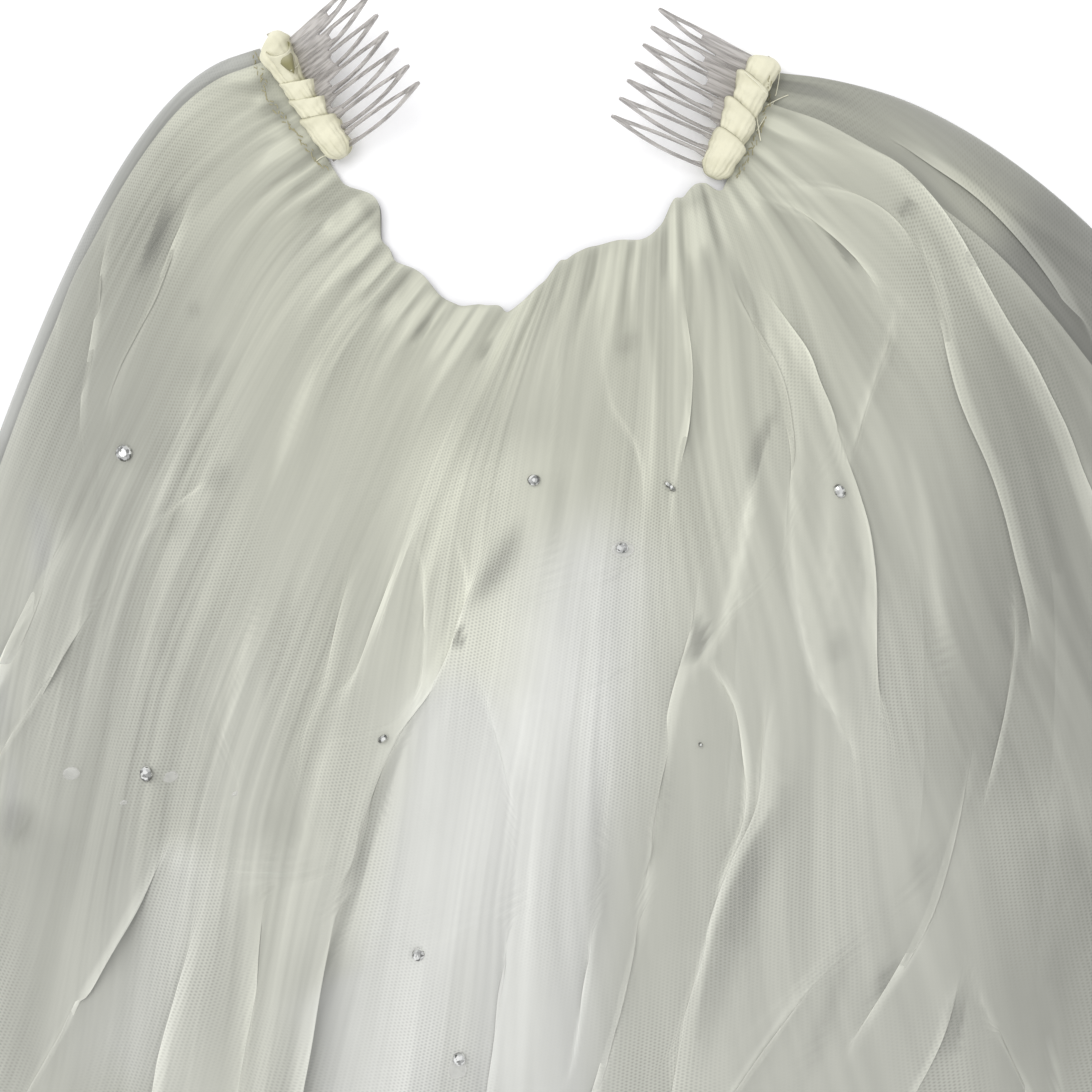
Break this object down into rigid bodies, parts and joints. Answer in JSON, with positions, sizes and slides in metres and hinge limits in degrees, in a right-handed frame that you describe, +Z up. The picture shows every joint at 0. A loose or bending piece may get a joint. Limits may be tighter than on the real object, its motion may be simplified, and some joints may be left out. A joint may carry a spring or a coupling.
{
  "type": "bridal veil with side combs",
  "caption": "Two-tier tulle bridal veil laid flat in a fan, gathered in a U between two clear side combs that hold it in the hair.",
  "frame": {"origin": "middle of the veil's footprint, on the surface it lies on", "axes": "+Z up from the surface, +Y from the hem towards the combs, +X to the right seen from above"},
  "size_m": [0.5818, 0.6852, 0.0263],
  "materials": {
    "tulle": "fine nylon net, sheer and soft",
    "clear_plastic": "clear moulded plastic, glossy",
    "ribbon": "crepe ribbon, matt"
  },
  "bodies": {
    "root": {"tulle_lower_tier": "tulle", "tulle_upper_tier": "tulle", "gathered_heading": "tulle", "comb_left": "clear_plastic", "comb_right": "clear_plastic", "ribbon_wrap_left": "ribbon", "ribbon_wrap_right": "ribbon"}
  },
  "joints": []
}
